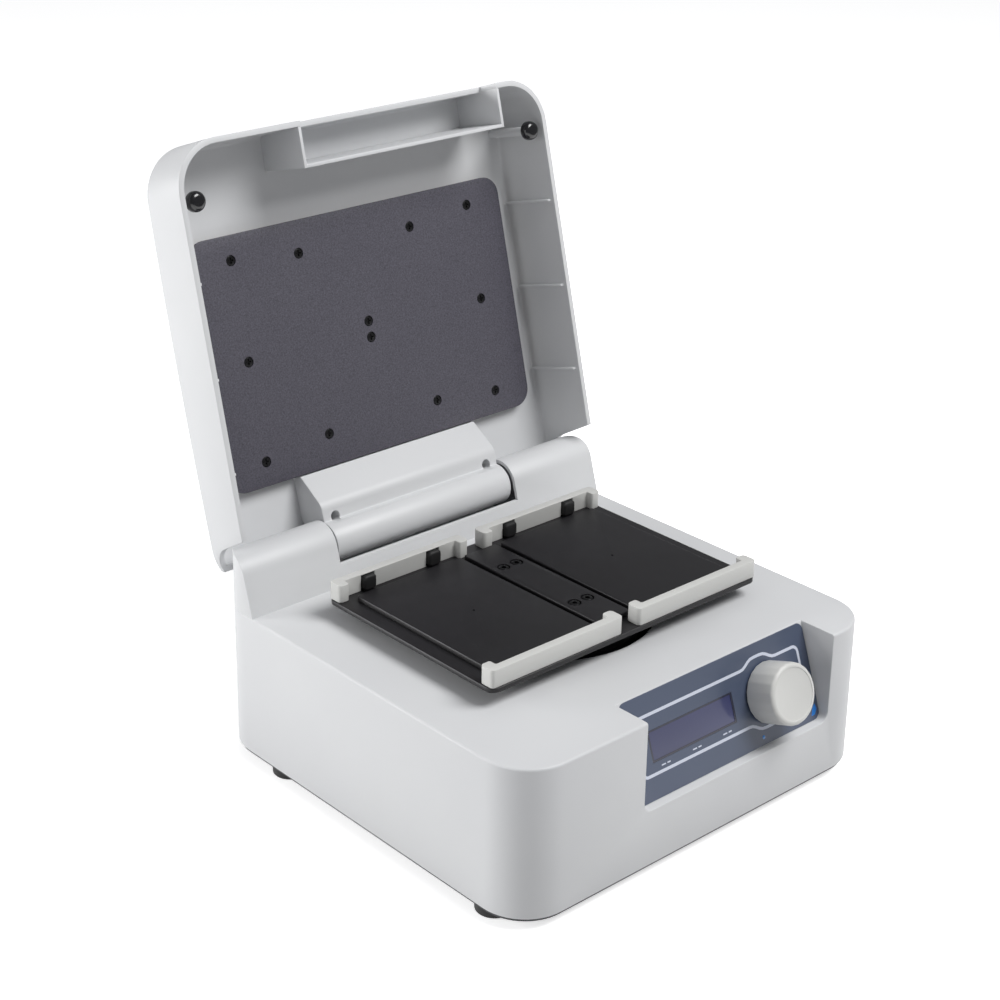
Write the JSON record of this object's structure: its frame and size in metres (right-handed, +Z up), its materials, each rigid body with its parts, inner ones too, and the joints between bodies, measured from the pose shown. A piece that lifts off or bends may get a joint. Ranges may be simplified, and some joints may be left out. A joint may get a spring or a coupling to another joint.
{
  "type": "microplate incubator",
  "caption": "Benchtop microplate incubator with an orbital tray for two plates and a heated lid, standing open",
  "frame": {"origin": "on the table under the middle of the whole part with its lid open", "axes": "+X to the right of someone at the control panel, +Y to the back, +Z up"},
  "size_m": [0.288, 0.3561, 0.3771],
  "materials": {
    "shell_plastic": "fine satin texture",
    "knob_plastic": "satin",
    "rail_plastic": "satin",
    "black_tray": "matte black anodised",
    "dark_plate": "matte grey coating",
    "film": "printed film",
    "display": "dark window",
    "board": "solder mask",
    "steel": "turned",
    "base_steel": "powder coat",
    "black_steel": "black oxide",
    "aluminium": "machined",
    "motor_paint": "satin",
    "bronze": "sintered",
    "black_rubber": "smooth",
    "black_plastic": "satin",
    "rocker_plastic": "gloss",
    "lamp": "clear lens",
    "mat_silicone": "silicone",
    "foam": "closed-cell foam"
  },
  "bodies": {
    "body": {"housing": "shell_plastic", "base_plate": "base_steel", "foot_front_left": "black_rubber", "foot_front_right": "black_rubber", "foot_rear_left": "black_rubber", "foot_rear_right": "black_rubber", "foot_screws": "steel", "panel_film": "film", "display_window": "display", "display_module": "board", "control_board": "board", "encoder": "steel", "indicator_lamp": "lamp", "hinge_hood": "shell_plastic", "hinge_bracket_left": "steel", "hinge_bracket_right": "steel", "hinge_screws": "steel", "hinge_pin": "steel", "power_inlet": "black_plastic", "switch_frame": "black_plastic", "power_supply": "steel", "main_board": "board", "board_fixings": "steel", "drive_plate": "aluminium", "drive_standoffs": "aluminium", "drive_screws": "steel", "drive_motor": "motor_paint", "bearing_housing": "aluminium", "shaft_bearing": "steel", "idler_bushes": "bronze"},
    "lid": {"lid_shell": "shell_plastic", "lid_heater_plate": "dark_plate", "lid_heater_mat": "mat_silicone", "lid_foam": "foam", "lid_plate_screws": "black_steel", "lid_bumper_left": "black_rubber", "lid_bumper_right": "black_rubber", "lid_hinge_block": "shell_plastic", "lid_block_screws": "steel"},
    "knob_plunger": {"encoder_plunger": "steel"},
    "knob": {"encoder_shaft": "steel", "knob": "knob_plastic"},
    "rocker": {"power_rocker": "rocker_plastic"},
    "crank": {"crank": "steel", "counterweight": "steel"},
    "idler_right": {"idler_crank_right": "steel"},
    "idler_front": {"idler_crank_front": "steel"},
    "idler_rear": {"idler_crank_rear": "steel"},
    "shaking_tray": {"carrier": "aluminium", "carrier_bearing": "steel", "tray": "black_tray", "heated_pad_left": "black_tray", "heated_pad_right": "black_tray", "centre_strip": "black_tray", "rail_front_left": "rail_plastic", "rail_front_right": "rail_plastic", "rail_rear_left": "rail_plastic", "rail_rear_right": "rail_plastic", "plate_tabs": "black_rubber", "tray_screws": "black_steel"}
  },
  "joints": [
    {"name": "lid_hinge", "type": "hinge", "parent": "body", "child": "lid", "pos_m": [0, 0.0917, 0.1214], "axis": [1, 0, 0], "range_deg": [0, 104.3]},
    {"name": "knob_push", "type": "slide", "parent": "body", "child": "knob_plunger", "axis": [0, 0.943, -0.3329], "range_m": [0, 0.0008], "stiffness_N_per_m": 1500, "springref_m": -0.002},
    {"name": "knob_turn", "type": "hinge", "parent": "knob_plunger", "child": "knob", "pos_m": [0.06485, -0.15204, 0.07141], "axis": [0, -0.943, 0.3329], "continuous": true},
    {"name": "power_switch", "type": "hinge", "parent": "body", "child": "rocker", "pos_m": [-0.052, 0.1049, 0.041], "axis": [0, 0, 1], "range_deg": [-12, 0]},
    {"name": "crank_spin", "type": "hinge", "parent": "body", "child": "crank", "pos_m": [0, -0.0291, 0.101], "axis": [0, 0, 1], "continuous": true},
    {"name": "tray_orbit", "type": "hinge", "parent": "crank", "child": "shaking_tray", "pos_m": [0.001, -0.0291, 0.101], "axis": [0, 0, 1], "continuous": true},
    {"name": "idler_right_spin", "type": "hinge", "parent": "body", "child": "idler_right", "pos_m": [0.046, -0.0291, 0.101], "axis": [0, 0, 1], "continuous": true},
    {"name": "idler_rear_spin", "type": "hinge", "parent": "body", "child": "idler_rear", "pos_m": [-0.023, 0.01074, 0.101], "axis": [0, 0, 1], "continuous": true},
    {"name": "idler_front_spin", "type": "hinge", "parent": "body", "child": "idler_front", "pos_m": [-0.023, -0.06893, 0.101], "axis": [0, 0, 1], "continuous": true}
  ],
  "couplings": [
    {"joint": "tray_orbit", "follows": "crank_spin", "ratio": -1},
    {"joint": "idler_right_spin", "follows": "crank_spin", "ratio": 1},
    {"joint": "idler_rear_spin", "follows": "crank_spin", "ratio": 1},
    {"joint": "idler_front_spin", "follows": "crank_spin", "ratio": 1}
  ]
}
